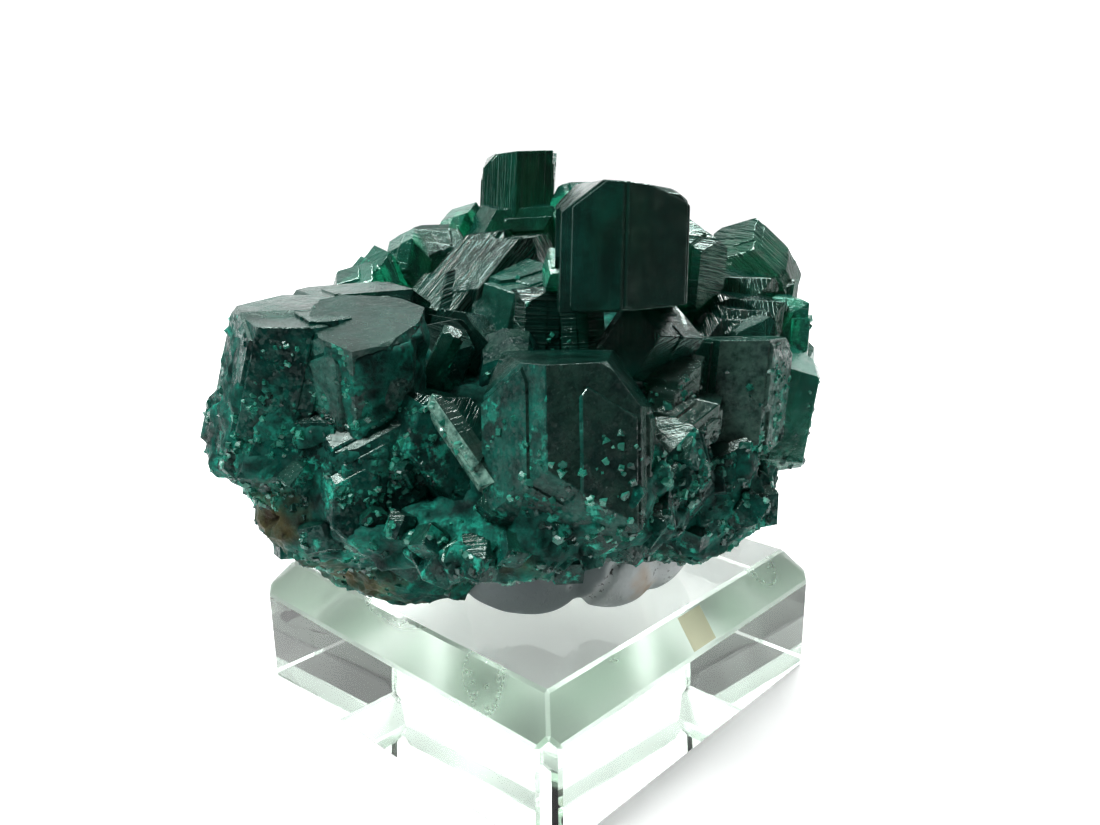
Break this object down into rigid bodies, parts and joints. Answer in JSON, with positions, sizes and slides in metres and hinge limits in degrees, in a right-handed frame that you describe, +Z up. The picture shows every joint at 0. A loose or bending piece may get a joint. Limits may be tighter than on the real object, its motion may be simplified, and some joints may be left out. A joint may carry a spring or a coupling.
{
  "type": "dioptase mineral specimen on a display block",
  "caption": "Dark green dioptase crystal cluster on its matrix, stuck with grey mineral tack to a bevelled clear square display block.",
  "frame": {"origin": "centre of the display block's underside", "axes": "+Z up out of the block, -Y towards the viewer on the show side, where one corner of the block points at the viewer, +X to the viewer's right"},
  "size_m": [0.0554, 0.0567, 0.0524],
  "materials": {
    "dioptase": "glassy dark emerald green crystals with turquoise crust and brown stains on the matrix",
    "grey_tack": "matte, pressed by hand, with a few specks and scratches",
    "clear_block": "polished clear with a faint green tint, scuffed bevels"
  },
  "bodies": {
    "root": {"dioptase_cluster": "dioptase", "mineral_tack": "grey_tack", "display_block": "clear_block"}
  },
  "joints": []
}
